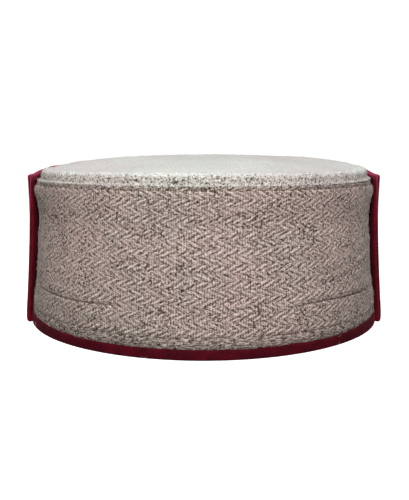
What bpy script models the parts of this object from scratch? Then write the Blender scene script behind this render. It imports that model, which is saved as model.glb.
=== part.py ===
"""A himachali cap: a round cap of handwoven wool with a velvet flap turned up round its front.

Units are metres and +Z is up. The cap stands on its rim at z = 0, and the origin is on that
surface, under the middle of the whole cap. The middle of the flap, which is worn over the
forehead, faces +Y, and the plain woollen back faces -Y.
"""

import math
from collections import namedtuple

import bmesh
import bpy

# Sizes of the woollen band
HEAD_GIRTH = 0.580  # round the inside of the band at the crown seam, for a 58 cm head
WOOL_THICKNESS = 0.0028  # milled herringbone wool, doubled on itself
BAND_HEIGHT = 0.079  # from the surface that the cap stands on up to the crown seam
HEM_SPREAD = 0.0028  # how much the band's radius grows from the seam down to the hem
WAIST_PULL = 0.0015  # how far the band draws in between the seam and the hem
HEM_PINCH = 0.0015  # how far the binding's stitches pull the hem in

# Sizes of the crown
SHOULDER_HEIGHT = 0.0058  # the crown's rounded edge, above the seam
SHOULDER_WIDTH = 0.0045  # the same edge, in from the seam
CROWN_RISE = 0.0084  # how much the middle of the crown stands above its edge
SEAM_RIDGE = 0.0003  # how far the seam allowance pushes the crown's lower edge out

# Sizes of the binding round the hem
BINDING_CLOTH = 0.0012  # velvet folded over a turned edge
BINDING_HEIGHT = 0.0056  # the part that shows outside
BINDING_TURN_IN = 0.0070  # the part that is turned up inside
BINDING_FOLD = 0.0011  # radius of the fold's two lower edges

# Sizes of the flap
FLAP_THICKNESS = 0.0030  # velvet round a stiff inner layer
FLAP_END_HEIGHT = 0.0813  # at its two ends
FLAP_ARCH = 0.0110  # how much higher its middle is than its ends
FLAP_EASE = 0.0002  # how much looser than the crown seam the flap is wrapped
FLAP_END_ANGLE = 11.7  # degrees that each end reaches behind the cap's side
FLARE_TOP = 0.0002  # how far the top of each end stands away
FLARE_HEM = 0.0010  # how far the foot of each end stands away
FLARE_LENGTH = 0.014  # the stretch over which an end flares
TOP_CORNER = 0.0011  # radius of the ends' upper corners
HEM_CORNER = 0.0026  # radius of the ends' lower corners
END_FACE = 0.3  # the flat left on each rounded end, as a share of the flap's thickness

CLEARANCE = 0.0003  # between two pieces that are sewn together
SIDES = 72  # facets in a full turn
FLAP_STATIONS = 44  # sections along the flap between its flared ends
SHOULDER_STEPS = 4  # facets over the crown's shoulder
FOLD_STEPS = 2  # facets round a quarter of a folded edge

# One row for each height on the band, from the seam down. height is a share of BAND_HEIGHT and
# waist is a share of WAIST_PULL.
BandRow = namedtuple("BandRow", "height waist")
BAND_ROWS = (
    BandRow(height=1.00, waist=0.00),
    BandRow(height=0.93, waist=0.15),
    BandRow(height=0.86, waist=0.45),
    BandRow(height=0.79, waist=0.95),
    BandRow(height=0.71, waist=1.00),
    BandRow(height=0.58, waist=0.72),
    BandRow(height=0.42, waist=0.45),
    BandRow(height=0.24, waist=0.05),
    BandRow(height=0.11, waist=0.00),
)

# The rings of the crown from its middle outwards, as shares of the radius inside its shoulder
CROWN_RINGS = (0.0, 0.22, 0.42, 0.60, 0.76, 0.89, 1.0)

# Colours as linear values
WOOL_COLOUR = (0.352, 0.283, 0.254, 1.0)
VELVET_COLOUR = (0.098, 0.006, 0.013, 1.0)


def seam_radius():
    """The band's outer radius at the crown seam."""
    return HEAD_GIRTH / math.tau + WOOL_THICKNESS


def waist_share(height):
    """The band's share of WAIST_PULL at a height, read between the rows of its table."""
    share = height / BAND_HEIGHT
    upper = BAND_ROWS[0]
    for lower in BAND_ROWS[1:]:
        if share >= lower.height:
            part = min((share - lower.height) / (upper.height - lower.height), 1.0)
            return lower.waist + (upper.waist - lower.waist) * part
        upper = lower
    return upper.waist


def band_radius(height):
    """The band's outer radius at a height, without the pinch inside its binding."""
    spread = HEM_SPREAD * max(0.0, 1.0 - height / BAND_HEIGHT)
    return seam_radius() + spread - WAIST_PULL * waist_share(height)


def pinched_radius():
    """The band's outer radius inside its binding."""
    return band_radius(BINDING_HEIGHT) - HEM_PINCH


def binding_radius():
    """The binding's outer radius."""
    return pinched_radius() + CLEARANCE + BINDING_CLOTH


def material(name, colour, roughness, sheen):
    """A cloth material of one colour."""
    made = bpy.data.materials.new(name)
    made.use_nodes = True
    shader = made.node_tree.nodes["Principled BSDF"]
    shader.inputs["Base Color"].default_value = colour
    shader.inputs["Roughness"].default_value = roughness
    shader.inputs["Metallic"].default_value = 0.0
    shader.inputs["Sheen Weight"].default_value = sheen
    made.diffuse_color = colour
    return made


def finished(name, bm, cloth):
    """A named object from a closed mesh, with its faces pointing out and its rounds smooth."""
    bmesh.ops.recalc_face_normals(bm, faces=bm.faces)
    mesh = bpy.data.meshes.new(name)
    bm.to_mesh(mesh)
    bm.free()
    mesh.shade_smooth()
    mesh.set_sharp_from_angle(angle=math.radians(50))
    mesh.materials.append(cloth)
    made = bpy.data.objects.new(name, mesh)
    bpy.context.scene.collection.objects.link(made)
    return made


def turned(name, profile, closed, cloth):
    """A piece turned round Z from a profile of (radius, height) pairs."""
    bm = bmesh.new()
    points = [bm.verts.new((radius, 0.0, height)) for radius, height in profile]
    ends = zip(points, points[1:] + points[:1] if closed else points[1:])
    edges = [bm.edges.new(pair) for pair in ends]
    bmesh.ops.spin(
        bm,
        geom=points + edges,
        cent=(0.0, 0.0, 0.0),
        axis=(0.0, 0.0, 1.0),
        angle=math.tau,
        steps=SIDES,
        use_merge=True,
    )
    bmesh.ops.remove_doubles(bm, verts=bm.verts, dist=1e-6)
    return finished(name, bm, cloth)


def crown_line(radius, width, height):
    """(radius, height) pairs from the crown's middle out over its rounded edge to the seam."""
    seam = BAND_HEIGHT + CLEARANCE
    flat = radius - width
    line = [(flat * share, seam + height + CROWN_RISE * (1.0 - share**2)) for share in CROWN_RINGS]
    for step in range(1, SHOULDER_STEPS + 1):
        angle = math.pi / 2 * step / SHOULDER_STEPS
        line.append((flat + width * math.sin(angle), seam + height * math.cos(angle)))
    return line


def build_crown(cloth):
    """A round of wool, domed, that turns down over a soft shoulder to the seam."""
    outer = crown_line(seam_radius(), SHOULDER_WIDTH, SHOULDER_HEIGHT)
    edge_radius, edge_height = outer.pop()
    outer.append((edge_radius + SEAM_RIDGE, edge_height))
    inner = crown_line(
        seam_radius() - WOOL_THICKNESS,
        max(SHOULDER_WIDTH - WOOL_THICKNESS, WOOL_THICKNESS / 2),
        max(SHOULDER_HEIGHT - WOOL_THICKNESS, WOOL_THICKNESS / 2),
    )
    return turned("crown", outer + inner[::-1], False, cloth)


def build_side_band(cloth):
    """A strip of wool sewn into a ring, drawn in at its waist and pinched at its hem."""
    outer = [(band_radius(row.height * BAND_HEIGHT), row.height * BAND_HEIGHT) for row in BAND_ROWS]
    outer.append((pinched_radius(), BINDING_HEIGHT + CLEARANCE))
    outer.append((pinched_radius(), BINDING_CLOTH + CLEARANCE))
    inner = [(radius - WOOL_THICKNESS, height) for radius, height in outer]
    return turned("side_band", outer + inner[::-1], True, cloth)


def arc(radius, height, size, first, quarters):
    """(radius, height) pairs round a folded edge, from the angle first, over that many quarters."""
    steps = FOLD_STEPS * abs(quarters)
    turn = math.pi / 2 * quarters / steps
    angles = [first + turn * step for step in range(steps + 1)]
    return [(radius + size * math.cos(a), height + size * math.sin(a)) for a in angles]


def build_hem_binding(cloth):
    """A folded velvet strip that holds the band's hem between its two legs."""
    outside = binding_radius()
    inside = pinched_radius() - WOOL_THICKNESS - CLEARANCE - BINDING_CLOTH
    fold = min(BINDING_FOLD, BINDING_CLOTH)
    profile = [(outside - BINDING_CLOTH, BINDING_HEIGHT), (outside, BINDING_HEIGHT)]
    profile += arc(outside - fold, fold, fold, 0.0, -1)
    profile += arc(inside + fold, fold, fold, -math.pi / 2, -1)
    profile += [
        (inside, BINDING_TURN_IN),
        (inside + BINDING_CLOTH, BINDING_TURN_IN),
        (inside + BINDING_CLOTH, BINDING_CLOTH),
        (outside - BINDING_CLOTH, BINDING_CLOTH),
    ]
    return turned("hem_binding", profile, True, cloth)


def flap_inner_radius(height):
    """The radius of the flap's inner side, which lies on the binding and the crown seam."""
    if height < BINDING_HEIGHT:
        return binding_radius() + CLEARANCE
    return band_radius(height) + SEAM_RIDGE + CLEARANCE + FLAP_EASE


def corner_trim(radius, distance):
    """How far a rounded corner takes the flap's edge in, at a distance from the flap's end."""
    short = max(radius - distance, 0.0)
    return radius - math.sqrt(radius**2 - short**2)


def arch_share(angle):
    """The share of FLAP_ARCH that the flap's top stands above its ends at an angle."""
    behind = math.radians(FLAP_END_ANGLE)
    return math.sin(math.pi * (angle + behind) / (math.pi + 2 * behind))


def flap_section(angle, distance):
    """Points round the flap's section at an angle, distance being measured from its nearer end."""
    ease = max(0.0, 1.0 - distance / FLARE_LENGTH) ** 2
    flat_share = max(0.0, 1.0 - 2 * distance / FLAP_THICKNESS)
    half = FLAP_THICKNESS / 2 * math.sqrt(1.0 - (1.0 - END_FACE**2) * flat_share**2)
    top = FLAP_END_HEIGHT + FLAP_ARCH * arch_share(angle) - corner_trim(TOP_CORNER, distance)
    foot = corner_trim(HEM_CORNER, distance)
    heights = [foot + half] + [row.height * (top - half) for row in reversed(BAND_ROWS)]
    middle = []
    for height in heights:
        flare = ease * (FLARE_HEM + (FLARE_TOP - FLARE_HEM) * height / top)
        middle.append((flap_inner_radius(height) + FLAP_THICKNESS / 2 + flare, height))
    loop = [(radius + half, height) for radius, height in middle[1:-1]]
    loop += arc(middle[-1][0], middle[-1][1], half, 0.0, 2)
    loop += [(radius - half, height) for radius, height in reversed(middle[1:-1])]
    loop += arc(middle[0][0], middle[0][1], half, math.pi, 2)
    return [(r * math.cos(angle), r * math.sin(angle), z) for r, z in loop]


def flap_stations():
    """(angle, distance from the nearer end) for each section, from one end to the other."""
    radius = seam_radius() + FLAP_THICKNESS
    first = -math.radians(FLAP_END_ANGLE)
    length = radius * (math.pi - 2 * first)
    close = [0.0, HEM_CORNER * 0.2, HEM_CORNER * 0.55, HEM_CORNER, FLARE_LENGTH * 0.4]
    inner_length = length - 2 * FLARE_LENGTH
    steps = [FLARE_LENGTH + inner_length * step / FLAP_STATIONS for step in range(FLAP_STATIONS + 1)]
    along = close + steps + [length - distance for distance in reversed(close)]
    return [(first + distance / radius, min(distance, length - distance)) for distance in along]


def build_front_flap(cloth):
    """A stiff velvet strip, turned up from the hem and wrapped round the front of the band."""
    bm = bmesh.new()
    loops = []
    for angle, distance in flap_stations():
        points = [bm.verts.new(place) for place in flap_section(angle, distance)]
        loops.append([bm.edges.new(pair) for pair in zip(points, points[1:] + points[:1])])
    for near, far in zip(loops, loops[1:]):
        bmesh.ops.bridge_loops(bm, edges=near + far)
    for end in (loops[0], loops[-1]):
        bmesh.ops.contextual_create(bm, geom=end)
    bmesh.ops.triangulate(bm, faces=[face for face in bm.faces if len(face.verts) > 4])
    return finished("front_flap", bm, cloth)


def main():
    """Builds the cap in an empty scene."""
    for old in list(bpy.data.objects):
        bpy.data.objects.remove(old)
    wool = material("herringbone_wool", WOOL_COLOUR, 0.95, 0.2)
    velvet = material("maroon_velvet", VELVET_COLOUR, 0.8, 0.6)
    # The flap reaches further forward than the band does back, so the band's axis is set back
    axis = bpy.data.objects.new("cap_axis", None)
    axis.location.y = -(FLAP_THICKNESS + CLEARANCE) / 2
    bpy.context.scene.collection.objects.link(axis)
    pieces = (
        build_crown(wool),
        build_side_band(wool),
        build_hem_binding(velvet),
        build_front_flap(velvet),
    )
    for piece in pieces:
        piece.parent = axis


main()
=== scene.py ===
"""The looks of a himachali cap: handwoven herringbone wool, a velvet binding and a velvet flap.

Everything is in metres, in the frame of the solids: +Z is up, the middle of the flap faces +Y and the
plain woollen back faces -Y.
"""

import math

import bpy
import numpy as np
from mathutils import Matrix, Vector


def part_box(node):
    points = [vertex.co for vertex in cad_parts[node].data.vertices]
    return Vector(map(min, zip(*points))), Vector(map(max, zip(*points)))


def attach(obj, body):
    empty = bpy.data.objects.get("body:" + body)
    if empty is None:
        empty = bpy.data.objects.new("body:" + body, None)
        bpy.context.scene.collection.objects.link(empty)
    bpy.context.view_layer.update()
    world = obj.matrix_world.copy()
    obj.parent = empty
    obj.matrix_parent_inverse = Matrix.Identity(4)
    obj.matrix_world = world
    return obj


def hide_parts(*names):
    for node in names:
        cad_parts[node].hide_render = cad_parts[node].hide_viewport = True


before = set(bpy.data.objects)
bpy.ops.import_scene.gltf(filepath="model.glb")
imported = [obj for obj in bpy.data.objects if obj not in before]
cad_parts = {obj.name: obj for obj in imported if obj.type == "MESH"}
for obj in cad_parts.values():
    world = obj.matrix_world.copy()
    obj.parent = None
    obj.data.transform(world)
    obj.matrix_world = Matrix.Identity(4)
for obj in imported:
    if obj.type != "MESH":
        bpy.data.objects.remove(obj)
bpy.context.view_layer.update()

# The camera
# It looks at the plain back of the cap from 40 cm away, at the height of the crown.
band_low, band_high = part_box("side_band")
axis_y = (band_low.y + band_high.y) / 2
camera_distance = 0.4045
camera_height = 0.09484
camera_tilt = math.radians(8.09)
image_height_px = 500
focal_length_px = 692.2

scene = bpy.context.scene
camera = bpy.data.objects.new("camera", bpy.data.cameras.new("camera"))
camera.data.sensor_width = 36.0
camera.data.lens = focal_length_px * camera.data.sensor_width / image_height_px
camera.location = (0.00037, axis_y - camera_distance, camera_height)
camera.rotation_euler = (math.pi / 2 - camera_tilt, 0.0, 0.0)
scene.collection.objects.link(camera)
scene.camera = camera
scene.view_settings.view_transform = "Standard"


# The studio
# A white floor and wall round the cap, one large soft light above the camera and weaker light from
# all sides, so that the wool's relief shows and the cap's sides fall off a little.
def linear(colour):
    """The linear value of an sRGB hex colour, with full alpha."""
    shares = [int(colour[at : at + 2], 16) / 255 for at in (1, 3, 5)]
    return (*[s / 12.92 if s <= 0.04045 else ((s + 0.055) / 1.055) ** 2.4 for s in shares], 1.0)


def add(tree, kind, inputs=None, stops=(), **settings):
    """Adds a node with its settings. An input is given a value, another node's socket or a node, and
    the stops of a colour ramp are pairs of a place and a hex colour."""
    node = tree.nodes.new(kind)
    for name, value in settings.items():
        setattr(node, name, value)
    for name, value in (inputs or {}).items():
        if isinstance(value, bpy.types.Node):
            tree.links.new(value.outputs[0], node.inputs[name])
        elif isinstance(value, bpy.types.NodeSocket):
            tree.links.new(value, node.inputs[name])
        else:
            node.inputs[name].default_value = value
    for place, colour in stops[1:-1]:
        node.color_ramp.elements.new(place)
    for number, (place, colour) in enumerate(stops):
        node.color_ramp.elements[number].position = place
        node.color_ramp.elements[number].color = linear(colour)
    return node


def new_material(name):
    """A material with an empty node tree."""
    material = bpy.data.materials.new(name)
    material.use_nodes = True
    material.node_tree.nodes.clear()
    return material


world = bpy.data.worlds.new("studio")
world.use_nodes = True
world.node_tree.nodes.clear()
seen = add(world.node_tree, "ShaderNodeLightPath")
backdrop = add(world.node_tree, "ShaderNodeBackground", {"Color": linear("#ffffff"), "Strength": 1.05})
ambient = add(world.node_tree, "ShaderNodeBackground", {"Color": linear("#f4f7fb"), "Strength": 0.04})
mixed = add(
    world.node_tree, "ShaderNodeMixShader", {0: seen.outputs["Is Camera Ray"], 1: ambient, 2: backdrop}
)
add(world.node_tree, "ShaderNodeOutputWorld", {"Surface": mixed})
scene.world = world

light_aim_height = 0.045


def soft_light(name, watts, size, distance, round_deg, up_deg, colour):
    """A square light that faces the cap, placed by its angle round from the back and its height."""
    light = bpy.data.lights.new(name, "AREA")
    light.shape = "SQUARE"
    light.size = size
    light.energy = watts
    light.color = linear(colour)[:3]
    lamp = bpy.data.objects.new(name, light)
    turn, rise = math.radians(round_deg), math.radians(up_deg)
    lamp.location = (
        distance * math.cos(rise) * math.sin(turn),
        axis_y - distance * math.cos(rise) * math.cos(turn),
        light_aim_height + distance * math.sin(rise),
    )
    lamp.rotation_euler = (math.pi / 2 - rise, 0.0, turn)
    scene.collection.objects.link(lamp)


soft_light("key_softbox", watts=21.6, size=0.6, distance=1.3, round_deg=0, up_deg=30, colour="#fffdfa")
soft_light("ceiling_softbox", watts=6.2, size=0.7, distance=1.5, round_deg=0, up_deg=88, colour="#fdfeff")
soft_light("left_card", watts=2.5, size=0.5, distance=1.0, round_deg=-122, up_deg=16, colour="#ffffff")
soft_light("right_card", watts=2.3, size=0.5, distance=1.0, round_deg=122, up_deg=16, colour="#ffffff")

floor_reach = 0.7
floor_mesh = bpy.data.meshes.new("floor")
floor_corners = [(x * floor_reach, y * floor_reach, 0.0) for x, y in ((-1, -1), (1, -1), (1, 1), (-1, 1))]
floor_mesh.from_pydata(floor_corners, [], [(0, 1, 2, 3)])
floor = bpy.data.objects.new("floor", floor_mesh)
floor_paint = new_material("white_light_table")
floor_shader = add(
    floor_paint.node_tree,
    "ShaderNodeBsdfPrincipled",
    {
        "Base Color": linear("#f2f2f2"),
        "Roughness": 0.9,
        "Specular IOR Level": 0.1,
        "Emission Color": linear("#ffffff"),
        "Emission Strength": 0.62,
    },
)
add(floor_paint.node_tree, "ShaderNodeOutputMaterial", {"Surface": floor_shader})
floor_mesh.materials.append(floor_paint)
scene.collection.objects.link(floor)
floor.visible_diffuse = False
floor.visible_glossy = False

# The side band
# A strip of handwoven herringbone wool, sewn into an upright ring. It is top-stitched just under
# the crown seam and again over the hem, and it creases a little above the hem at both sides.
wool_thickness = 0.0028
hem_stitch_height = 0.0104
seam_stitch_height = 0.0774
strips = 18  # rows of the herringbone between the two lines of stitching
ribs_round = 128
columns_per_rib = 6
rows_per_strip = 4
lean = 1.5  # how many ribs a rib leans over while it climbs one strip
rib_height = 0.00010
groove_depth = 0.00040
groove_width = 0.0007
warp_spacing = 0.0012
warp_share = 0.6  # the warp's relief, as a share of the ribs' relief
crease_height = 0.0229
crease_depth = 0.0011
crease_half_width = 0.00042
hem_height = 0.0095  # the narrowest of the band's free rows
hem_roll = 0.00035
bound_height = 0.0053  # the binding covers the wool up to here
bound_pinch = 0.0018
side_press = 0.0010
press_heights = [0.009, 0.014, 0.029, 0.045, 0.060, 0.070, 0.079]
press_shares = [0.0, -0.3, 0.5, 0.5, 0.6, 0.0, 0.0]
flap_end_deg = 84  # where the flap's ends hold the seam, counted round from the middle of the back
seam_tuck = 0.0011
side_bulge = 0.0010
strip_height = (seam_stitch_height - hem_stitch_height) / strips
rib_spacing = math.tau * (band_high.x - band_low.x) / 2 / ribs_round


def outline(node, reach):
    """Heights and outer radii of a turned solid, with its corners eased over a reach."""
    places = np.array([v.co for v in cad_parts[node].data.vertices])
    radii = np.hypot(places[:, 0], places[:, 1] - axis_y)
    heights = np.round(places[:, 2], 5)
    levels = np.unique(heights)
    widest = [radii[heights == level].max() for level in levels]
    step = 0.00025
    fine = np.arange(levels[0], levels[-1] + step / 2, step)
    side = int(reach / step)
    window = np.hanning(2 * side + 3)[1:-1]
    sharp = np.pad(np.interp(fine, levels, widest), side, mode="reflect", reflect_type="odd")
    return fine, np.convolve(sharp, window / window.sum(), mode="valid")


def wander(turns, seed, slowest, fastest):
    """A smooth wobble between about -1 and 1 round the cap, the same each time for one seed."""
    dice = np.random.default_rng(seed)
    waves = np.arange(slowest, fastest + 1)
    sizes = dice.normal(size=len(waves)) / np.sqrt(len(waves))
    starts = dice.uniform(0, math.tau, len(waves))
    spins = math.tau * np.asarray(turns)[..., None] * waves + starts
    return (np.cos(spins) * sizes).sum(-1)


def loft(name, places, flat, material, ring):
    """A closed mesh through rows of points, each row a loop. flat is each point's place on the flat
    cloth, with one column more. A ring joins its last row to its first, and any other mesh has
    both ends closed to their middles."""
    rows, columns = places.shape[:2]
    corners = np.arange(rows * columns).reshape(rows, columns)
    corners = np.concatenate([corners, corners[:, :1]], axis=1)
    points = places.reshape(-1, 3)
    faces = []
    face_flat = []
    if ring:
        corners = np.concatenate([corners, corners[:1]])
        flat = np.concatenate([flat, flat[:1]])
    else:
        for row, near, far in ((0, 1, 0), (rows - 1, 0, 1)):
            middle = len(points)
            points = np.concatenate([points, places[row].mean(0)[None]])
            flat_middle = flat[row, :-1].mean(0)
            for column in range(columns):
                faces.append([middle, corners[row, column + near], corners[row, column + far]])
                face_flat += [flat_middle, flat[row, column + near], flat[row, column + far]]

    def around(grid):
        return np.stack([grid[:-1, :-1], grid[:-1, 1:], grid[1:, 1:], grid[1:, :-1]], axis=2)

    faces = around(corners).reshape(-1, 4).tolist() + faces
    all_flat = np.concatenate([around(flat).reshape(-1, 2), np.array(face_flat).reshape(-1, 2)])
    mesh = bpy.data.meshes.new(name)
    mesh.from_pydata(points.tolist(), [], faces)
    mesh.uv_layers.new(name="cloth").uv.foreach_set("vector", all_flat.astype(np.float32).ravel())
    mesh.shade_smooth()
    mesh.materials.append(material)
    piece = bpy.data.objects.new(name, mesh)
    scene.collection.objects.link(piece)
    return piece


def plain_mesh(piece, tree, values):
    """Runs a tree of geometry nodes on a piece, gives it the plain mesh that comes out and takes
    the modifier off again."""
    modifier = piece.modifiers.new(tree.name, "NODES")
    modifier.node_group = tree
    for socket in tree.interface.items_tree:
        if socket.in_out == "INPUT" and socket.name in values:
            modifier[socket.identifier] = values[socket.name]
    graph = bpy.context.evaluated_depsgraph_get()
    made = bpy.data.meshes.new_from_object(piece.evaluated_get(graph), depsgraph=graph)
    piece.modifiers.remove(modifier)
    made.name = piece.name
    piece.data = made


def twill(tree, strip, rib, leans):
    """The number of the rib at a point: ribs lean one way in a strip and the other way in the next,
    and break off by half a rib where they turn."""
    climb = add(tree, "ShaderNodeMath", {0: strip, 1: 1.0}, operation="PINGPONG")
    leaned = add(tree, "ShaderNodeMath", {0: climb, 1: leans}, operation="MULTIPLY")
    straight = add(tree, "ShaderNodeMath", {0: rib, 1: leaned}, operation="SUBTRACT")
    number = add(tree, "ShaderNodeMath", {0: strip}, operation="FLOOR")
    odd = add(tree, "ShaderNodeMath", {0: number, 1: 2.0}, operation="FLOORED_MODULO")
    return add(tree, "ShaderNodeMath", {0: odd, 1: 0.5, 2: straight}, operation="MULTIPLY_ADD")


def herringbone_wool(name, colours, relief, rib_share, yarn_share, grain_share, painted_highlight_colours=None):
    """Handwoven herringbone tweed: thick single yarns of undyed wool in twill ribs that turn at
    every strip, milled a little, so that the ribs are soft and the eye sees light floats over dark
    gaps, with fibres of other sheep in them as flecks."""
    material = new_material(name)
    tree = material.node_tree
    place = add(tree, "ShaderNodeUVMap", uv_map="cloth")
    across = add(tree, "ShaderNodeSeparateXYZ", {0: place})
    body = add(tree, "ShaderNodeTexCoord")
    # Where a point lies in its strip, and how far along the row of ribs, which isn't quite even
    strip = add(tree, "ShaderNodeMath", {0: across.outputs["Y"], 1: strip_height}, operation="DIVIDE")
    rib = add(tree, "ShaderNodeMath", {0: across.outputs["X"], 1: rib_spacing}, operation="DIVIDE")
    broken = twill(tree, strip, rib, lean)
    uneven = add(
        tree,
        "ShaderNodeTexNoise",
        {"Vector": body.outputs["Object"], "Scale": 230.0, "Detail": 2.0, "Roughness": 0.6},
    )
    drift = add(tree, "ShaderNodeMath", {0: uneven, 1: 0.42, 2: broken}, operation="MULTIPLY_ADD")
    turn = add(tree, "ShaderNodeMath", {0: drift, 1: math.tau}, operation="MULTIPLY")
    ridge = add(tree, "ShaderNodeMath", {0: turn}, operation="COSINE")
    # Ribs fade where they turn at the edge of a strip
    edge = add(tree, "ShaderNodeMath", {0: strip, 1: 0.5}, operation="PINGPONG")
    fade = add(
        tree,
        "ShaderNodeMapRange",
        {"Value": edge, "From Max": 0.16, "To Min": 0.35},
        interpolation_type="SMOOTHSTEP",
    )
    ribbed = add(tree, "ShaderNodeMath", {0: ridge, 1: fade}, operation="MULTIPLY")
    # Single yarns lie along the ribs, four or five to a rib, and each shows for about a millimetre
    yarn_place = add(tree, "ShaderNodeCombineXYZ", {"X": drift, "Y": strip})
    yarn_scaled = add(
        tree, "ShaderNodeVectorMath", {0: yarn_place, 1: (4.9, 2.9, 1.0)}, operation="MULTIPLY"
    )
    yarns = add(
        tree,
        "ShaderNodeTexNoise",
        {"Vector": yarn_scaled, "Scale": 1.0, "Detail": 2.0, "Roughness": 0.6},
        noise_dimensions="2D",
    )
    # The finest grain is small bundles of fibres, less than a millimetre across
    fibres = add(
        tree, "ShaderNodeTexNoise", {"Vector": body.outputs["Object"], "Scale": 1350.0, "Detail": 0.0}
    )
    # The warp's yarns stand upright, a little more than a millimetre apart
    warp_place = add(
        tree, "ShaderNodeMath", {0: across.outputs["X"], 1: math.tau / warp_spacing}, operation="MULTIPLY"
    )
    warp_turn = add(tree, "ShaderNodeMath", {0: uneven, 1: 9.0, 2: warp_place}, operation="MULTIPLY_ADD")
    warp = add(tree, "ShaderNodeMath", {0: warp_turn}, operation="COSINE")
    # The weave is rubbed down next to the flap's ends, and the hem's turned edge shows bare fibres
    woven = 1.0
    shaded = 1.0
    strand_part = 0.0
    if not painted_highlight_colours:
        depth = add(tree, "ShaderNodeSeparateXYZ", {0: body.outputs["Object"]})
        above_hem = add(
            tree,
            "ShaderNodeMapRange",
            {"Value": across.outputs["Y"], "From Min": -0.0004, "From Max": 0.0006},
        )
        rubbed = add(
            tree,
            "ShaderNodeMapRange",
            {"Value": depth.outputs["Y"], "From Min": -0.052, "From Max": -0.092, "To Min": 0.32},
        )
        woven = add(tree, "ShaderNodeMath", {0: above_hem, 1: rubbed}, operation="MULTIPLY")
        # Loose strands run along the hem's turned edge
        strand_scale = add(
            tree, "ShaderNodeVectorMath", {0: place, 1: (320.0, 1500.0, 1.0)}, operation="MULTIPLY"
        )
        strands = add(
            tree,
            "ShaderNodeTexNoise",
            {"Vector": strand_scale, "Scale": 1.0, "Detail": 1.0},
            noise_dimensions="2D",
        )
        on_hem = add(tree, "ShaderNodeMapRange", {"Value": above_hem, "To Min": 4.0, "To Max": 0.0})
        strand_height = add(tree, "ShaderNodeMath", {0: strands, 1: 0.5}, operation="SUBTRACT")
        strand_part = add(tree, "ShaderNodeMath", {0: strand_height, 1: on_hem}, operation="MULTIPLY")
        # Painted shade: the hem's turned edge is painted darker, and the band a little darker up to four
        # centimetres over the hem's stitching
        hem_shade = add(tree, "ShaderNodeMapRange", {"Value": above_hem, "To Min": 0.72})
        painted_low_shade = add(
            tree, "ShaderNodeMapRange", {"Value": across.outputs["Y"], "From Max": 0.040, "To Min": 0.87}
        )
        shaded = add(tree, "ShaderNodeMath", {0: hem_shade, 1: painted_low_shade}, operation="MULTIPLY")
    # The relief, from gap to top of a float
    yarn_part = add(
        tree, "ShaderNodeMath", {0: yarns, 1: yarn_share, 2: -yarn_share / 2}, operation="MULTIPLY_ADD"
    )
    fibre_part = add(
        tree, "ShaderNodeMath", {0: fibres, 1: grain_share, 2: -grain_share / 2}, operation="MULTIPLY_ADD"
    )
    both = add(tree, "ShaderNodeMath", {0: ribbed, 1: rib_share, 2: yarn_part}, operation="MULTIPLY_ADD")
    crossed = add(
        tree, "ShaderNodeMath", {0: warp, 1: rib_share * warp_share, 2: both}, operation="MULTIPLY_ADD"
    )
    loose_part = add(tree, "ShaderNodeMath", {0: fibre_part, 1: strand_part}, operation="ADD")
    height = add(tree, "ShaderNodeMath", {0: crossed, 1: woven, 2: loose_part}, operation="MULTIPLY_ADD")
    tone = add(tree, "ShaderNodeMapRange", {"Value": height, "From Min": -1.25, "From Max": 1.25})
    dark, middle, light = colours
    stops = [(0.04, dark), (0.5, middle), (0.96, light)]
    shades = add(tree, "ShaderNodeValToRGB", {"Fac": tone}, stops)
    if painted_highlight_colours:
        # Painted highlight: the crown's flat top gets paler, less contrasting colours for the strong light
        # from above and the nap's sheen, and its edge keeps the darker colours
        level = add(tree, "ShaderNodeSeparateXYZ", {0: body.outputs["Object"]})
        ragged = add(
            tree, "ShaderNodeMath", {0: height, 1: 0.0006, 2: level.outputs["Z"]}, operation="MULTIPLY_ADD"
        )
        inside = add(
            tree,
            "ShaderNodeMapRange",
            {"Value": ragged, "From Min": 0.0824, "From Max": 0.0856},
            interpolation_type="SMOOTHSTEP",
        )
        painted_highlight_stops = [(0.0, painted_highlight_colours[0]), (0.8, painted_highlight_colours[1])]
        painted_highlight_shades = add(tree, "ShaderNodeValToRGB", {"Fac": tone}, painted_highlight_stops)
        shades = add(
            tree, "ShaderNodeMix", {"Factor": inside, 6: shades, 7: painted_highlight_shades}, data_type="RGBA"
        ).outputs[2]
    # Slow changes from one part of the fleece to another, in depth and from grey to warm
    patches = add(
        tree,
        "ShaderNodeTexNoise",
        {"Vector": body.outputs["Object"], "Scale": 42.0, "Detail": 3.0, "Roughness": 0.6},
    )
    patch_tone = add(
        tree,
        "ShaderNodeMapRange",
        {"Value": patches, "From Min": 0.3, "From Max": 0.7, "To Min": 0.93, "To Max": 1.06},
    )
    # The painted shade towards the hem is multiplied in with the fleece's patches here
    patch_and_painted_shade = add(tree, "ShaderNodeMath", {0: patch_tone, 1: shaded}, operation="MULTIPLY")
    warmth = add(
        tree, "ShaderNodeTexNoise", {"Vector": body.outputs["Object"], "Scale": 27.0, "Detail": 2.0}
    )
    warm_share = add(tree, "ShaderNodeMapRange", {"Value": warmth, "From Min": 0.38, "From Max": 0.62})
    tint = add(
        tree,
        "ShaderNodeMix",
        {"Factor": warm_share, 6: (0.975, 1.0, 0.97, 1.0), 7: (1.02, 0.975, 0.98, 1.0)},
        data_type="RGBA",
    )
    tinted = add(tree, "ShaderNodeVectorMath", {0: shades, 1: tint.outputs[2]}, operation="MULTIPLY")
    mottled = add(tree, "ShaderNodeVectorMath", {0: tinted, 1: patch_and_painted_shade}, operation="MULTIPLY")
    # Dark fibres spun into the yarn, more of them in some stretches than in others
    flecks = add(
        tree, "ShaderNodeTexNoise", {"Vector": body.outputs["Object"], "Scale": 960.0, "Detail": 0.0}
    )
    gathered = add(
        tree, "ShaderNodeTexNoise", {"Vector": body.outputs["Object"], "Scale": 90.0, "Detail": 1.0}
    )
    fleck_level = add(tree, "ShaderNodeMath", {0: gathered, 1: 0.30, 2: flecks}, operation="MULTIPLY_ADD")
    if not painted_highlight_colours:
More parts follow.
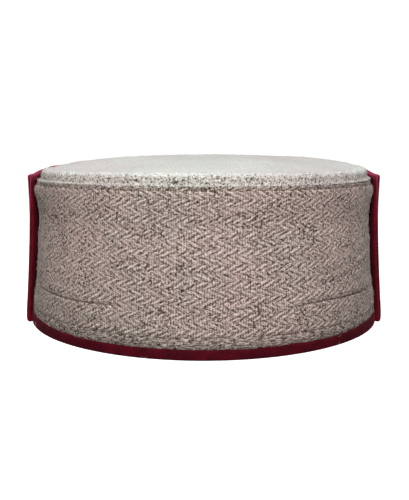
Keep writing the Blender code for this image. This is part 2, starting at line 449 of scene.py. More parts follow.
        # They show best where the weave is rubbed down
        fleck_level = add(
            tree, "ShaderNodeMath", {0: rubbed, 1: -0.10, 2: fleck_level}, operation="MULTIPLY_ADD"
        )
    fleck_low = 0.76 if painted_highlight_colours else 0.67
    fleck_part = add(
        tree,
        "ShaderNodeMapRange",
        {"Value": fleck_level, "From Min": fleck_low, "From Max": fleck_low + 0.13, "To Max": 0.88},
    )
    if painted_highlight_colours:
        # Few of them show under the top's painted highlight
        edge_part = add(tree, "ShaderNodeMapRange", {"Value": inside, "To Min": 1.0, "To Max": 0.15})
        fleck_part = add(tree, "ShaderNodeMath", {0: fleck_part, 1: edge_part}, operation="MULTIPLY")
    flecked = add(
        tree, "ShaderNodeMix", {"Factor": fleck_part, 6: mottled, 7: linear("#2e2421")}, data_type="RGBA"
    )
    bump = add(tree, "ShaderNodeBump", {"Height": height, "Distance": relief, "Strength": 1.0})
    shader = add(
        tree,
        "ShaderNodeBsdfPrincipled",
        {
            "Base Color": flecked.outputs[2],
            "Roughness": 0.95,
            "Specular IOR Level": 0.15,
            "Sheen Weight": 0.05,
            "Sheen Roughness": 0.6,
            "Sheen Tint": linear("#f4eee8"),
            "Normal": bump,
        },
    )
    add(tree, "ShaderNodeOutputMaterial", {"Surface": shader})
    return material


def smooth(values, low, high):
    """0 below low and 1 above high, with an even slope between them."""
    share = np.clip((values - low) / (high - low), 0, 1)
    return share**2 * (3 - 2 * share)


def hump(values, middle, width):
    """A soft hump that is 1 high at its middle."""
    return np.exp(-(((values - middle) / width) ** 2))


def turned(radii, turns, heights):
    """Points round the cap's axis. Turns are whole turns, counted from the middle of the flap."""
    angles = math.tau * turns
    return np.stack([-radii * np.sin(angles), axis_y + radii * np.cos(angles), heights], axis=-1)


def run_length(path):
    """How far along a path each of its points lies."""
    return np.concatenate([[0.0], np.cumsum(np.linalg.norm(np.diff(path, axis=0), axis=1))])


def hem_bulge(from_back):
    """How far the hem stands out, at the flap's ends and less at the middle of the back."""
    return 0.0013 * hump(from_back, 80, 24) + 0.0007 * hump(from_back, 0, 28)


band_wool = herringbone_wool(
    "herringbone_tweed",
    ("#41342f", "#a08f89", "#dbd0ca"),
    relief=0.0001,
    rib_share=0.50,
    yarn_share=3.6,
    grain_share=2.1,
)

band_heights, band_radii = outline("side_band", 0.004)
strip_rows = hem_stitch_height + strip_height / rows_per_strip * np.arange(strips * rows_per_strip + 1)
groove_rows = [
    line + side * groove_width
    for line in (hem_stitch_height, seam_stitch_height)
    for side in (-0.9, -0.45, 0.45, 0.9)
]
crease_rows = [crease_height + side for side in (-0.0009, -0.0003, 0.0, 0.0003, 0.0009)]
below_rows = np.linspace(band_low.z, hem_stitch_height - 2 * groove_width, 7)
above_rows = np.linspace(seam_stitch_height + 1.4 * groove_width, band_high.z, 3)
outer_heights = np.concatenate([strip_rows, groove_rows, crease_rows, below_rows, above_rows])
outer_heights = np.unique(np.round(outer_heights, 6))
outer_heights = outer_heights[np.concatenate([[True], np.diff(outer_heights) > 0.00012])]

in_strips = (outer_heights.clip(hem_stitch_height, seam_stitch_height) - hem_stitch_height) / strip_height
climbs = 1 - np.abs(in_strips % 2 - 1)
columns = np.arange(ribs_round * columns_per_rib + 1) / columns_per_rib
outer_ribs = columns[None, :] + lean * climbs[:, None]
outer_turns = outer_ribs / ribs_round
heights_grid = np.repeat(outer_heights[:, None], len(columns), axis=1)

# How far each point stands off the plain outline
slack = 0.00022 * wander(outer_turns + heights_grid * 3.0, 11, 2, 9)
slack += 0.00012 * wander(outer_turns - heights_grid * 9.0, 12, 14, 40)
slack *= np.clip((heights_grid - band_low.z) / 0.02, 0, 1)
slack *= np.clip((band_high.z - heights_grid) / 0.01, 0, 1)
for line, seed in ((hem_stitch_height, 13), (seam_stitch_height, 14)):
    depth = groove_depth * (1 + 0.35 * wander(outer_turns, seed, 30, 90))
    slack -= depth * hump(heights_grid, line, groove_width)
# The hem's turned edge is a soft roll between the stitching and the binding
roll_middle = (hem_stitch_height + bound_height) / 2
roll_size = 1 + 0.5 * wander(outer_turns, 15, 20, 60)
slack += hem_roll * hump(heights_grid, roll_middle, 0.0014) * roll_size
# A crease begins a little way from each end of the flap and dies out before the middle of the back
from_back = np.abs(outer_turns % 1.0 - 0.5) * 360
crease_fade = np.clip((from_back - 22) / 12, 0, 1) * np.clip((67 - from_back) / 9, 0, 1)
crease_line = crease_height + 0.0004 * wander(outer_turns, 16, 3, 12)
from_crease = (heights_grid - crease_line) / crease_half_width
slack -= crease_depth * crease_fade * np.exp(-(from_crease**2))
slack += 0.0004 * crease_fade * hump(heights_grid - crease_line, 0.0035, 0.0028)

# The hem is pinched in only where the binding holds it, and the flap presses the sides in a little
free_radii = np.interp(outer_heights.clip(hem_height), band_heights, band_radii)
free_radii -= bound_pinch * (1 - smooth(outer_heights, bound_height - 0.0014, bound_height))
pressed = smooth(from_back, 52, 78)
slack *= 1 - 0.7 * pressed
pressed_in = side_press * np.interp(outer_heights, press_heights, press_shares)[:, None] * pressed
hem_swell = hem_bulge(from_back) * np.clip((0.020 - outer_heights) / 0.016, 0, 1)[:, None]
# The ends of the flap hold the sides of the seam in, and the cloth bulges under them
tuck = seam_tuck * hump(from_back, flap_end_deg, 20) * smooth(heights_grid, 0.0755, 0.0785)
tuck -= side_bulge * hump(from_back, 80, 16) * hump(heights_grid, 0.0735, 0.0032)
outer_radii = free_radii[:, None] + slack + hem_swell - tuck - pressed_in
inner_heights = np.linspace(band_high.z, band_low.z, 12)
inner_radii = np.interp(inner_heights, band_heights, band_radii) - wool_thickness
inner_turns = np.repeat(columns[None, :] / ribs_round, len(inner_heights), axis=0)
turns = np.concatenate([outer_turns, inner_turns])[:, :-1]
radii = np.concatenate([outer_radii, np.repeat(inner_radii[:, None], len(columns), axis=1)])[:, :-1]
levels = np.concatenate([heights_grid, np.repeat(inner_heights[:, None], len(columns), axis=1)])
band_places = turned(radii, turns, levels[:, :-1])
band_flat = np.stack(
    [np.concatenate([outer_ribs, inner_turns * ribs_round]) * rib_spacing, levels - hem_stitch_height],
    axis=2,
)
side_band = loft("side_band_wool", band_places, band_flat, band_wool, ring=True)
# The ribs lie flat in the crease and outside the two lines of stitching
ribbed_share = (heights_grid > hem_stitch_height) & (heights_grid < seam_stitch_height)
ribbed_share = ribbed_share * np.clip(1 - np.exp(-(from_crease**2) / 6) * crease_fade, 0, 1)
shares = np.concatenate([ribbed_share[:, :-1].ravel(), np.zeros(inner_turns[:, :-1].size)])
rib_shares = side_band.data.attributes.new("rib_share", "FLOAT", "POINT")
rib_shares.data.foreach_set("value", shares.astype(np.float32))


def new_geometry_tree(name, numbers):
    """A tree of geometry nodes that takes a mesh, named numbers and a material, and its inputs."""
    tree = bpy.data.node_groups.new(name, "GeometryNodeTree")
    kinds = [("Geometry", "Geometry")] + [(number, "Float") for number in numbers] + [("Cloth", "Material")]
    for socket_name, kind in kinds:
        tree.interface.new_socket(socket_name, in_out="INPUT", socket_type="NodeSocket" + kind)
    tree.interface.new_socket("Geometry", in_out="OUTPUT", socket_type="NodeSocketGeometry")
    return tree, add(tree, "NodeGroupInput").outputs


def end_tree(tree, geometry, cloth):
    """Ends a tree: its instances are made real and given their material."""
    whole = add(tree, "GeometryNodeRealizeInstances", {0: geometry})
    covered = add(tree, "GeometryNodeSetMaterial", {"Geometry": whole, "Material": cloth})
    add(tree, "NodeGroupOutput", {0: covered})


rib_numbers = ("Axis", "Foot", "Strip Height", "Ribs Round", "Lean", "Rib Height")
ribs_tree, given = new_geometry_tree("herringbone_ribs", rib_numbers)
at = add(ribs_tree, "ShaderNodeSeparateXYZ", {0: add(ribs_tree, "GeometryNodeInputPosition")})
forward = add(ribs_tree, "ShaderNodeMath", {0: at.outputs["Y"], 1: given["Axis"]}, operation="SUBTRACT")
left = add(ribs_tree, "ShaderNodeMath", {0: at.outputs["X"], 1: -1.0}, operation="MULTIPLY")
angle = add(ribs_tree, "ShaderNodeMath", {0: left, 1: forward}, operation="ARCTAN2")
share_round = add(ribs_tree, "ShaderNodeMath", {0: angle, 1: math.tau}, operation="DIVIDE")
up = add(ribs_tree, "ShaderNodeMath", {0: at.outputs["Z"], 1: given["Foot"]}, operation="SUBTRACT")
in_strip = add(ribs_tree, "ShaderNodeMath", {0: up, 1: given["Strip Height"]}, operation="DIVIDE")
rib_count = add(ribs_tree, "ShaderNodeMath", {0: share_round, 1: given["Ribs Round"]}, operation="MULTIPLY")
broken_rib = twill(ribs_tree, in_strip, rib_count, given["Lean"])
rib_turn = add(ribs_tree, "ShaderNodeMath", {0: broken_rib, 1: math.tau}, operation="MULTIPLY")
rib_wave = add(ribs_tree, "ShaderNodeMath", {0: rib_turn}, operation="COSINE")
arch_turn = add(ribs_tree, "ShaderNodeMath", {0: in_strip, 1: math.pi}, operation="MULTIPLY")
arch_sine = add(ribs_tree, "ShaderNodeMath", {0: arch_turn}, operation="SINE")
arch = add(ribs_tree, "ShaderNodeMath", {0: arch_sine}, operation="ABSOLUTE")
worn = add(ribs_tree, "ShaderNodeTexNoise", {"Scale": 210.0, "Detail": 1.0})
worn_share = add(
    ribs_tree,
    "ShaderNodeMapRange",
    {"Value": worn, "From Min": 0.3, "From Max": 0.7, "To Min": 0.3, "To Max": 1.6},
)
share = add(ribs_tree, "GeometryNodeInputNamedAttribute", {"Name": "rib_share"}, data_type="FLOAT")
arched = add(ribs_tree, "ShaderNodeMath", {0: rib_wave, 1: arch}, operation="MULTIPLY")
shared = add(ribs_tree, "ShaderNodeMath", {0: arched, 1: share.outputs["Attribute"]}, operation="MULTIPLY")
varied = add(ribs_tree, "ShaderNodeMath", {0: shared, 1: worn_share}, operation="MULTIPLY")
raised = add(ribs_tree, "ShaderNodeMath", {0: varied, 1: given["Rib Height"]}, operation="MULTIPLY")
facing_out = add(ribs_tree, "GeometryNodeInputNormal")
outward = add(ribs_tree, "ShaderNodeVectorMath", {0: facing_out, "Scale": raised}, operation="SCALE")
relieved = add(ribs_tree, "GeometryNodeSetPosition", {"Geometry": given["Geometry"], "Offset": outward})
end_tree(ribs_tree, relieved, given["Cloth"])

plain_mesh(
    side_band,
    ribs_tree,
    {
        "Axis": axis_y,
        "Foot": hem_stitch_height,
        "Strip Height": strip_height,
        "Ribs Round": float(ribs_round),
        "Lean": lean,
        "Rib Height": rib_height,
        "Cloth": band_wool,
    },
)
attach(side_band, "root")
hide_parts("side_band")

# The crown
# A round of the same cloth, domed over the head and turned down over a soft shoulder, painted paler on
# top as a painted highlight where the light falls on its nap. Its seam allowance makes a thin ridge over the
# band.
crown_low, crown_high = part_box("crown")
shoulder_radius = 0.0934
shoulder_width = 0.0038
shoulder_foot = crown_low.z + 0.0005
shoulder_height = 0.0056
ridge_size = 0.0011
crown_columns = 512
crown_lift = 0.0014  # how much the top's right side stands above its left side
crown_tuck = 0.0014  # how far the flap's ends hold the crown's edge in
crown_radius = (crown_high.x - crown_low.x) / 2 - 0.0003
crown_flat = shoulder_radius - shoulder_width
crown_edge = shoulder_foot + shoulder_height
crown_rise = crown_high.z - crown_edge - 0.0003

# Its colours are paler and greyer than the band's, though it is the same cloth: a painted sheen and
# highlight
crown_wool = herringbone_wool(
    "pale_herringbone_tweed",
    ("#55504c", "#b2ada9", "#dcd9d6"),
    relief=0.00012,
    rib_share=0.15,
    yarn_share=2.1,
    grain_share=2.6,
    painted_highlight_colours=("#b3b3b0", "#dbdcdc"),
)


def dome(share):
    """The radius and height of the top's outer side, at a share of the way out to its shoulder."""
    return crown_flat * share, crown_edge + crown_rise * (1 - share**2.3)


dome_rows = [dome(share) for share in np.linspace(0.012, 1.0, 34)]
shoulder_turns = np.linspace(0, math.pi / 2, 15)[1:]
shoulder_rows = [
    (
        crown_flat + shoulder_width * math.sin(t) ** 0.6,
        shoulder_foot + shoulder_height * max(math.cos(t), 0.0) ** 0.8,
    )
    for t in shoulder_turns
]
ridge_turns = np.linspace(math.radians(100), math.radians(-80), 9)
ridge_rows = [
    (
        crown_radius - ridge_size * 0.38 + ridge_size * 0.55 * math.cos(t),
        crown_low.z + 0.0001 + ridge_size / 2 * math.sin(t),
    )
    for t in ridge_turns
]
under_rows = [(crown_radius - wool_thickness, crown_low.z)]
for share in np.linspace(1.0, 0.012, 12):
    under_radius, over_height = dome(share)
    under_rows.append((under_radius, over_height - wool_thickness))
crown_profile = np.array(dome_rows + shoulder_rows + ridge_rows + under_rows)
along = run_length(crown_profile) + crown_profile[0, 0]
outside_rows = len(dome_rows) + len(shoulder_rows) + len(ridge_rows)
crown_turns = np.linspace(0, 1, crown_columns + 1)
crown_radii = np.repeat(crown_profile[:, :1], crown_columns + 1, axis=1)
crown_heights = np.repeat(crown_profile[:, 1:], crown_columns + 1, axis=1)
# The dome is a little uneven, and the seam gathers the cloth into small puckers over the shoulder
edge_share = crown_profile[:, 0] / crown_radius
row_numbers = np.arange(len(crown_profile))
outside = (row_numbers < outside_rows).astype(float)
swell_share = edge_share**2 * (1 - edge_share) * 6.75  # it is 1 two thirds of the way out
swell_turns = crown_turns[None, :] + edge_share[:, None] * 0.25
swell = 0.0005 * wander(swell_turns, 21, 1, 4) * swell_share[:, None]
pucker_share = hump(edge_share, 0.965, 0.03) * outside
pucker = 0.00022 * wander(crown_turns[None, :], 22, 30, 80) * pucker_share[:, None]
right_lift = crown_lift * hump(crown_turns[None, :], 0.78, 0.10) * smooth(edge_share, 0.3, 0.8)[:, None]
crown_heights += swell + pucker + right_lift * outside[:, None]
crown_radii += pucker * 0.6
# The ridge is knobbly, and the flap's ends hold the crown's edge in at the sides
ridge_wobble = 0.00022 * wander(crown_turns[None, :], 23, 40, 190)
on_ridge = (row_numbers >= outside_rows - len(ridge_rows)) & (row_numbers < outside_rows)
crown_radii += ridge_wobble * on_ridge[:, None]
held_in = crown_tuck * hump(np.abs(crown_turns - 0.5) * 360, flap_end_deg, 20)
crown_radii -= smooth(edge_share, 0.85, 0.95)[:, None] * held_in * outside[:, None]
crown_places = turned(crown_radii, crown_turns, crown_heights)[:, :-1]
# The flat cloth is measured out from the crown's middle, so the weave runs straight across it
reach = np.where(outside > 0, along, crown_profile[:, 0])
crown_cloth = np.stack(
    [-reach[:, None] * np.sin(math.tau * crown_turns), reach[:, None] * np.cos(math.tau * crown_turns)],
    axis=2,
)
crown = loft("crown_wool", crown_places[::-1], crown_cloth[::-1], crown_wool, ring=False)
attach(crown, "root")
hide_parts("crown")

# The binding
# A strip of dark maroon velvet that is folded over the band's hem and sewn through from outside. It
# holds the raw edge of the wool, and its own upper edge is turned under and a little wavy.
binding_low, binding_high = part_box("hem_binding")
binding_radius = (binding_high.x - binding_low.x) / 2 + 0.0003
binding_cloth = 0.0012
binding_top = 0.0051
binding_inside = 0.0070
binding_columns = 512
inner_leg = binding_radius - 0.0061
edge_roll = 0.00065
foot_roll = 0.0007
inner_roll = 0.0013
side_rise = 0.0021  # how far the upper edge climbs near the flap's ends


def velvet(name, dark, middle, light, sheen, sheen_tint, crush, painted_sheen_colour=None):
    """Cotton velvet: a short dense pile, cut level. It is deep red where the eye looks into the
    pile and pinkish where light rakes over it, and patches of it lie a little differently. Over a
    sharp fold a pinkish painted sheen can be laid on."""
    material = new_material(name)
    tree = material.node_tree
    body = add(tree, "ShaderNodeTexCoord")
    lie = add(
        tree,
        "ShaderNodeTexNoise",
        {"Vector": body.outputs["Object"], "Scale": 160.0, "Detail": 4.0, "Roughness": 0.6},
    )
    pile = add(
        tree,
        "ShaderNodeTexNoise",
        {"Vector": body.outputs["Object"], "Scale": 1400.0, "Detail": 2.0, "Roughness": 0.6},
    )
    pile_share = add(tree, "ShaderNodeMath", {0: pile, 1: 0.55}, operation="MULTIPLY")
    nap = add(tree, "ShaderNodeMath", {0: lie, 1: 0.45, 2: pile_share}, operation="MULTIPLY_ADD")
    stops = [(0.34, dark), (0.5, middle), (0.67, light)]
    shades = add(tree, "ShaderNodeValToRGB", {"Fac": nap}, stops)
    if painted_sheen_colour:
        # Painted sheen: the sheen colour is mixed in where the fold attribute is set
        fold = add(tree, "ShaderNodeAttribute", attribute_name="fold")
        with_painted_sheen = add(
            tree,
            "ShaderNodeMix",
            {"Factor": fold.outputs["Fac"], 6: shades, 7: linear(painted_sheen_colour)},
            data_type="RGBA",
        )
        shades = with_painted_sheen.outputs[2]
    bump = add(tree, "ShaderNodeBump", {"Height": nap, "Distance": crush, "Strength": 0.7})
    shader = add(
        tree,
        "ShaderNodeBsdfPrincipled",
        {
            "Base Color": shades,
            "Roughness": 0.9,
            "Specular IOR Level": 0.1,
            "Sheen Weight": sheen,
            "Sheen Roughness": 0.35,
            "Sheen Tint": linear(sheen_tint),
            "Normal": bump,
        },
    )
    add(tree, "ShaderNodeOutputMaterial", {"Surface": shader})
    return material


def bend(radius, height, size, first_deg, last_deg, steps):
    """(radius, height) pairs round a bend of a folded edge, without its first point."""
    angles = np.radians(np.linspace(first_deg, last_deg, steps + 1)[1:])
    return [(radius + size * math.cos(a), height + size * math.sin(a)) for a in angles]


binding_velvet = velvet(
    "maroon_binding_velvet",
    dark="#28020a",
    middle="#430412",
    light="#57081a",
    sheen=0.05,
    sheen_tint="#ff4a74",
    crush=0.0004,
)

# The section runs up the outside, over the turned edge and down along the wool's outer side, then up
# along its inner side, over the inner edge, down the inside and back along the foot
outside_rise = np.linspace(foot_roll, binding_top - edge_roll, 10)
binding_profile = [
    (binding_radius + 0.0001 * math.sin(math.pi * level / binding_top), level) for level in outside_rise
]
binding_profile += bend(binding_radius - edge_roll, binding_top - edge_roll, edge_roll, 0, 150, 7)
wool_outer_side = np.linspace(binding_top - 0.0012, 0.0012, 4)
binding_profile += [(binding_radius - binding_cloth, level) for level in wool_outer_side]
binding_profile += [(inner_leg + binding_cloth, level) for level in np.linspace(0.0012, 0.0060, 4)]
half_cloth = binding_cloth / 2
binding_profile += bend(inner_leg + half_cloth, binding_inside - half_cloth, half_cloth, 0, 180, 6)
binding_profile += [(inner_leg, level) for level in np.linspace(0.0058, inner_roll, 5)]
binding_profile += bend(inner_leg + inner_roll, inner_roll, inner_roll, 180, 270, 5)
foot_run = np.linspace(inner_leg + 0.0018, binding_radius - 2 * foot_roll, 3)
binding_profile += [(radius, 0.0) for radius in foot_run]
binding_profile += bend(binding_radius - foot_roll, foot_roll, foot_roll, 270, 350, 5)
binding_profile = np.array(binding_profile)
binding_turns = np.linspace(0, 1, binding_columns + 1)
binding_radii = np.repeat(binding_profile[:, :1], binding_columns + 1, axis=1)
binding_heights = np.repeat(binding_profile[:, 1:], binding_columns + 1, axis=1)
# The velvet gathers a little between its stitches, and its upper edge wanders
outer_share = (binding_profile[:, :1] - binding_radius + binding_cloth + 0.0006) / 0.0012
outer_share = np.clip(outer_share, 0, 1)
gathers = 0.00011 * wander(binding_turns, 31, 24, 90) + 0.00010 * wander(binding_turns, 32, 3, 12)
binding_radii += outer_share * gathers * np.clip(binding_profile[:, 1:] / 0.002, 0, 1)
binding_from_back = np.abs(binding_turns - 0.5) * 360
binding_radii += hem_bulge(binding_from_back)
edge_rise = 0.00024 * wander(binding_turns, 33, 6, 60)
edge_rise += side_rise * hump(binding_from_back, 72, 19)
binding_heights += outer_share * edge_rise * np.clip((binding_profile[:, 1:] - 0.003) / 0.002, 0, 1)
binding_places = turned(binding_radii, binding_turns, binding_heights)[:, :-1]
binding_round = run_length(binding_profile)
binding_girth = math.tau * binding_radius
binding_flat = np.stack(np.meshgrid(binding_turns * binding_girth, binding_round), axis=2)
hem_binding = loft("hem_binding_velvet", binding_places, binding_flat, binding_velvet, ring=True)
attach(hem_binding, "root")
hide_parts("hem_binding")

# The flap
# A stiff band covered in maroon velvet, turned up round the front half of the cap. It is sewn in at
# the hem and springs away a little at its two ends, where the velvet is folded round the edge.
flap_thickness = 0.0030
flap_gap = 0.0008
flap_end_height = 0.0821
flap_arch = 0.0098
flap_end_angle = 11.7
flap_flare_length = 0.030
flap_top_corner = 0.0005
flap_hem_corner = 0.0024
flap_slant = 0.0044  # how much further back each end reaches at its foot than at its top
# The shape of the two ends, from the foot up: where their outer side stands and how thick they are
end_heights = np.array([0.0, 0.003, 0.007, 0.014, 0.029, 0.046, 0.060, 0.068, 0.076, 0.082])
end_outsides = np.array([0.1023, 0.1025, 0.1024, 0.1018, 0.1007, 0.0997, 0.0991, 0.0991, 0.0993, 0.0995])
end_thicknesses = np.array([0.0044, 0.0040, 0.0033, 0.0029, 0.0034, 0.0037, 0.0038, 0.0034, 0.0028, 0.0027])

flap_velvet = velvet(
    "maroon_flap_velvet",
    dark="#38030b",
    middle="#550612",
    light="#700a1b",
    sheen=0.10,
    sheen_tint="#ff5f86",
    crush=0.00045,
    painted_sheen_colour="#a23a5c",
)

flap_radius = (band_high.x - band_low.x) / 2
flap_first = math.radians(180 + flap_end_angle)
flap_last = -math.radians(flap_end_angle)
flap_length = (flap_radius + flap_gap + flap_thickness / 2) * (flap_first - flap_last)
end_steps = np.array([0.0, 0.00005, 0.0002, 0.0004, 0.0007, 0.0010, 0.0014, 0.0018, 0.0023, 0.0029, 0.0037])
middle_steps = np.linspace(0.0047, flap_length - 0.0047, 330)
flap_along = np.concatenate([end_steps, middle_steps, flap_length - end_steps[::-1]])
flap_angles = flap_first + (flap_last - flap_first) * flap_along / flap_length
from_end = np.minimum(flap_along, flap_length - flap_along)
front_share = np.sin(math.pi * flap_along / flap_length)


def trim(radius):
    """How far a rounded corner takes the flap's edge in, at each station along it."""
    short = np.clip(radius - from_end, 0, None)
    return radius - np.sqrt(radius**2 - short**2)


# Points round the flap's section: up its outer side, over its top, down its inner side, round its foot
outer_shares = (1 - np.cos(np.linspace(0, math.pi, 28))) / 2 * 0.6 + np.linspace(0, 1, 28) * 0.4
section_points = [(share, 1.0, 0.0) for share in outer_shares]
top_angles = np.radians(np.linspace(0, 180, 9)[1:-1])
for angle in top_angles:
    sideways = math.cos(angle)
    section_points.append((1.0, np.sign(sideways) * abs(sideways) ** 0.6, math.sin(angle) ** 0.6))
section_points += [(share, -1.0, 0.0) for share in outer_shares[::-2]]
section_points += [(0.0, math.cos(a), math.sin(a)) for a in np.radians(np.linspace(180, 360, 9)[1:-1])]
height_share, across_share, rise_share = np.array(section_points + section_points[:1]).T

lifted = 0.0003 * hump(np.degrees(flap_angles), 142, 14)
flap_wave = 0.00025 * wander(flap_along / flap_length, 41, 3, 14) * smooth(from_end, 0.005, 0.04)
flap_top = flap_end_height + flap_arch * front_share + lifted + flap_wave - trim(flap_top_corner)
flap_foot = trim(flap_hem_corner)
round_share = np.clip(1 - 2 * from_end / flap_thickness, 0, None)
end_round = np.sqrt(1 - (1 - 0.3**2) * round_share**2)[:, None]

# Between its ends the flap follows the band and the binding, and near them it has a shape of its own
rough_low = (flap_foot + flap_thickness / 2)[:, None]
rough_high = (flap_top - flap_thickness / 2)[:, None]
middle_heights = rough_low + (rough_high - rough_low) * height_share[None, :]
near_end = (1 - smooth(from_end, 0.002, flap_flare_length))[:, None]
end_thickness = np.interp(middle_heights, end_heights, end_thicknesses)
thickness = flap_thickness + (end_thickness - flap_thickness) * near_end
half = thickness / 2 * end_round
body_inside = np.interp(middle_heights, band_heights, band_radii) + flap_gap
over_binding = (binding_radius + 0.0002) * (1 - smooth(middle_heights, 0.006, 0.011))
body_inside = np.maximum(body_inside, over_binding)
body_bulge = 0.0004 * np.abs(wander(flap_along / flap_length, 42, 2, 9))[:, None]
body_bulge = body_bulge * np.sin(math.pi * height_share)
body_middle = body_inside + flap_thickness / 2 + body_bulge
end_middle = np.interp(middle_heights, end_heights, end_outsides - end_thicknesses / 2)
# Away from its ends the flap's upper edge leans in towards the crown
leaning_in = 0.0022 * smooth(middle_heights, 0.0770, 0.0815) * smooth(from_end, 0.002, 0.010)[:, None]
flap_middle = body_middle + (end_middle - body_middle) * near_end - leaning_in
# The inner side of each end is drawn away from the wool, so a dark gap shows between them
inner_taper = np.where(across_share < 0, 0.5, 0.0)[None, :] * (1 - smooth(from_end, 0.0, 0.005))[:, None]
flap_radii = flap_middle + half * across_share[None, :] * (1 - inner_taper)
flap_heights = middle_heights + half * rise_share[None, :]
slant = flap_slant * (1 - smooth(from_end, 0.0, 0.06))[:, None]
slant = slant * (1 - flap_heights / flap_end_height) / flap_radius
section_angles = flap_angles[:, None] + slant * np.sign(flap_angles - math.pi / 2)[:, None]
flap_places = np.stack(
    [flap_radii * np.cos(section_angles), axis_y + flap_radii * np.sin(section_angles), flap_heights],
    axis=2,
)
section_round = run_length(flap_places[len(flap_along) // 2])
flap_flat = np.stack(np.meshgrid(section_round, flap_along), axis=2)
front_flap = loft("front_flap_velvet", flap_places[:, :-1], flap_flat, flap_velvet, ring=False)
# Painted sheen: a pinkish colour is painted over the folded upper edge, and further down its inner side
below_top = flap_top[:, None] - flap_heights
inner_part = smooth(-across_share, -0.2, 0.4)[None, :]
painted_sheen_share = (1 - smooth(below_top, 0.0002, 0.0009 + 0.0035 * inner_part)) * (0.35 + 0.65 * inner_part)
painted_sheen_share = np.concatenate([painted_sheen_share[:, :-1].ravel(), [0.0, 0.0]])
painted_sheen_shares = front_flap.data.attributes.new("fold", "FLOAT", "POINT")
painted_sheen_shares.data.foreach_set("value", painted_sheen_share.astype(np.float32))
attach(front_flap, "root")
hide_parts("front_flap")

# The stitching
# Two rows of long running stitches in grey-brown wool yarn go round the band, one just under the
# crown seam and one over the hem. Each stitch sinks into the cloth at both ends.
stitch_length = 0.0028
stitch_pitch = 0.0042
thread_size = 0.00045
stitch_rise = 0.00022
stitch_sink = 0.0003

thread_wool = new_material("spun_wool_thread")
thread_tree = thread_wool.node_tree
thread_body = add(thread_tree, "ShaderNodeTexCoord")
thread_noise = add(
    thread_tree,
    "ShaderNodeTexNoise",
    {"Vector": thread_body.outputs["Object"], "Scale": 900.0, "Detail": 2.0},
)
thread_stops = [(0.3, "#3f3430"), (0.7, "#6d5d55")]
thread_shades = add(thread_tree, "ShaderNodeValToRGB", {"Fac": thread_noise}, thread_stops)
thread_bump = add(thread_tree, "ShaderNodeBump", {"Height": thread_noise, "Distance": 0.0002})
thread_shader = add(
    thread_tree,
    "ShaderNodeBsdfPrincipled",
    {"Base Color": thread_shades, "Roughness": 0.9, "Specular IOR Level": 0.2, "Normal": thread_bump},
)
add(thread_tree, "ShaderNodeOutputMaterial", {"Surface": thread_shader})


def bent_thread(tree, start, middle, end, size, steps, sides):
    """A round thread of a size along a bent path, closed at both ends."""
    path = add(
        tree,
        "GeometryNodeCurveQuadraticBezier",
        {"Resolution": steps, "Start": start, "Middle": middle, "End": end},
    )
    radius = add(tree, "ShaderNodeMath", {0: size, 1: 0.5}, operation="MULTIPLY")
    section = add(tree, "GeometryNodeCurvePrimitiveCircle", {"Resolution": sides, "Radius": radius})
    parts = {"Curve": path, "Profile Curve": section, "Fill Caps": True}
    return add(tree, "GeometryNodeCurveToMesh", parts)


def place_threads(tree, points, thread, turn, sizes, seed, cloth):
    """Ends a tree with a thread on each point, in sizes between two shares."""
    scale = add(tree, "FunctionNodeRandomValue", {2: sizes[0], 3: sizes[1], "Seed": seed}, data_type="FLOAT")
    where = {"Points": points, "Instance": thread, "Rotation": turn, "Scale": scale.outputs[1]}
    end_tree(tree, add(tree, "GeometryNodeInstanceOnPoints", where), cloth)


stitch_numbers = ("Axis", "Stitch Length", "Thread Size", "Rise", "Sink")
stitch_tree, sewn = new_geometry_tree("running_stitches", stitch_numbers)
half_length = add(stitch_tree, "ShaderNodeMath", {0: sewn["Stitch Length"], 1: 0.5}, operation="MULTIPLY")
back_length = add(stitch_tree, "ShaderNodeMath", {0: sewn["Stitch Length"], 1: -0.5}, operation="MULTIPLY")
sunk = add(stitch_tree, "ShaderNodeMath", {0: sewn["Sink"], 1: -1.0}, operation="MULTIPLY")
risen = add(stitch_tree, "ShaderNodeMath", {0: sewn["Rise"], 1: 2.0}, operation="MULTIPLY")
stitch_start = add(stitch_tree, "ShaderNodeCombineXYZ", {"X": sunk, "Y": back_length})
stitch_middle = add(stitch_tree, "ShaderNodeCombineXYZ", {"X": risen})
stitch_end = add(stitch_tree, "ShaderNodeCombineXYZ", {"X": sunk, "Y": half_length})
stitch = bent_thread(stitch_tree, stitch_start, stitch_middle, stitch_end, sewn["Thread Size"], 6, 6)
stitch_at = add(stitch_tree, "ShaderNodeSeparateXYZ", {0: add(stitch_tree, "GeometryNodeInputPosition")})
stitch_forward = add(
    stitch_tree, "ShaderNodeMath", {0: stitch_at.outputs["Y"], 1: sewn["Axis"]}, operation="SUBTRACT"
)
stitch_angle = add(
    stitch_tree, "ShaderNodeMath", {0: stitch_forward, 1: stitch_at.outputs["X"]}, operation="ARCTAN2"
)
stitch_tilt = add(stitch_tree, "FunctionNodeRandomValue", {2: -0.16, 3: 0.16, "Seed": 5}, data_type="FLOAT")
stitch_turn = add(stitch_tree, "ShaderNodeCombineXYZ", {"X": stitch_tilt.outputs[1], "Z": stitch_angle})
place_threads(stitch_tree, sewn["Geometry"], stitch, stitch_turn, (0.8, 1.15), 6, sewn["Cloth"])


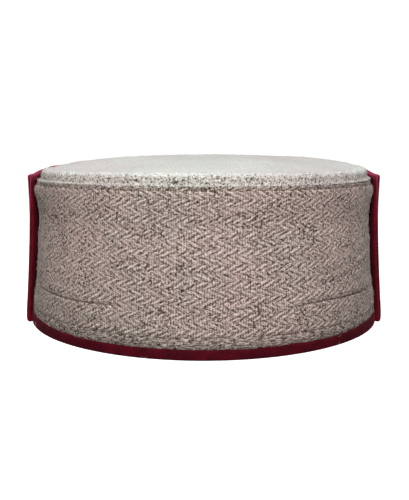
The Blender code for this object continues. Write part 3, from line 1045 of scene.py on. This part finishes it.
def running_stitches(name, height, row_seed):
    """A row of stitches that lies in its groove round the band."""
    row = int(np.argmin(np.abs(outer_heights - height)))
    count = round(math.tau * outer_radii[row].mean() / stitch_pitch)
    turns_round = (np.arange(count) + 0.18 * wander(np.arange(count) / count, row_seed, 20, 90)) / count
    order = np.argsort(outer_turns[row])
    radius = np.interp(turns_round % 1, outer_turns[row][order] % 1, outer_radii[row][order], period=1)
    level = height + 0.00012 * wander(turns_round, row_seed + 1, 5, 50)
    mesh = bpy.data.meshes.new(name)
    mesh.from_pydata(turned(radius, turns_round, level).tolist(), [], [])
    piece = bpy.data.objects.new(name, mesh)
    scene.collection.objects.link(piece)
    values = {
        "Axis": axis_y,
        "Stitch Length": stitch_length,
        "Thread Size": thread_size,
        "Rise": stitch_rise,
        "Sink": stitch_sink,
        "Cloth": thread_wool,
    }
    plain_mesh(piece, stitch_tree, values)
    piece.data.shade_smooth()
    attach(piece, "root")


running_stitches("seam_stitches", seam_stitch_height, 51)
running_stitches("hem_stitches", hem_stitch_height, 53)

# The loose fibres
# Single hairs of wool that milling has raised from the cloth. They lie over the weave, curl away
# from it at one end, and some have come off on the velvet.
fibre_size = 0.00007
fibre_length = 0.0032

fibre_wool = new_material("raised_wool_fibre")
fibre_shader = add(
    fibre_wool.node_tree,
    "ShaderNodeBsdfPrincipled",
    {"Base Color": linear("#cfc3ba"), "Roughness": 0.6, "Specular IOR Level": 0.4},
)
add(fibre_wool.node_tree, "ShaderNodeOutputMaterial", {"Surface": fibre_shader})

fibre_numbers = ("Fibres Each Square Metre", "Fibre Length", "Fibre Size", "Axis")
fibre_tree, grown = new_geometry_tree("loose_fibres", fibre_numbers)
face_normal = add(fibre_tree, "GeometryNodeInputNormal")
face_place = add(fibre_tree, "GeometryNodeInputPosition")
from_axis = add(fibre_tree, "ShaderNodeCombineXYZ", {"Y": grown["Axis"]})
face_out = add(fibre_tree, "ShaderNodeVectorMath", {0: face_place, 1: from_axis}, operation="SUBTRACT")
facing = add(fibre_tree, "ShaderNodeVectorMath", {0: face_normal, 1: face_out}, operation="DOT_PRODUCT")
outward_facing = add(
    fibre_tree, "ShaderNodeMath", {0: facing.outputs["Value"], 1: 0.0}, operation="GREATER_THAN"
)
density = grown["Fibres Each Square Metre"]
scattered = add(
    fibre_tree,
    "GeometryNodeDistributePointsOnFaces",
    {"Mesh": grown["Geometry"], "Selection": outward_facing, "Density": density, "Seed": 7},
)
fibre_back, fibre_front, fibre_rise, fibre_side = [
    add(fibre_tree, "ShaderNodeMath", {0: grown["Fibre Length"], 1: share}, operation="MULTIPLY")
    for share in (-0.5, 0.5, 0.2, 0.45)
]
fibre_start = add(fibre_tree, "ShaderNodeCombineXYZ", {"X": fibre_back, "Z": -0.0002})
fibre_middle = add(fibre_tree, "ShaderNodeCombineXYZ", {"Y": fibre_side, "Z": fibre_rise})
fibre_end = add(fibre_tree, "ShaderNodeCombineXYZ", {"X": fibre_front, "Z": 0.0001})
fibre = bent_thread(fibre_tree, fibre_start, fibre_middle, fibre_end, grown["Fibre Size"], 5, 3)
fibre_spin = add(fibre_tree, "FunctionNodeRandomValue", {2: 0.0, 3: math.tau, "Seed": 8}, data_type="FLOAT")
fibre_twist = add(fibre_tree, "ShaderNodeCombineXYZ", {"Z": fibre_spin.outputs[1]})
fibre_turn = add(
    fibre_tree,
    "FunctionNodeRotateRotation",
    {"Rotation": scattered.outputs["Rotation"], "Rotate By": fibre_twist},
    rotation_space="LOCAL",
)
place_threads(fibre_tree, scattered.outputs["Points"], fibre, fibre_turn, (0.5, 1.4), 9, grown["Cloth"])


def loose_fibres(name, cloth, density):
    """Fibres scattered over a finished piece of cloth, as a piece of their own."""
    piece = bpy.data.objects.new(name, cloth.data.copy())
    scene.collection.objects.link(piece)
    values = {
        "Fibres Each Square Metre": density,
        "Fibre Length": fibre_length,
        "Fibre Size": fibre_size,
        "Axis": axis_y,
        "Cloth": fibre_wool,
    }
    plain_mesh(piece, fibre_tree, values)
    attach(piece, "root")


loose_fibres("band_fibres", side_band, 26000.0)
loose_fibres("crown_fibres", crown, 22000.0)
loose_fibres("velvet_fibres", hem_binding, 3000.0)
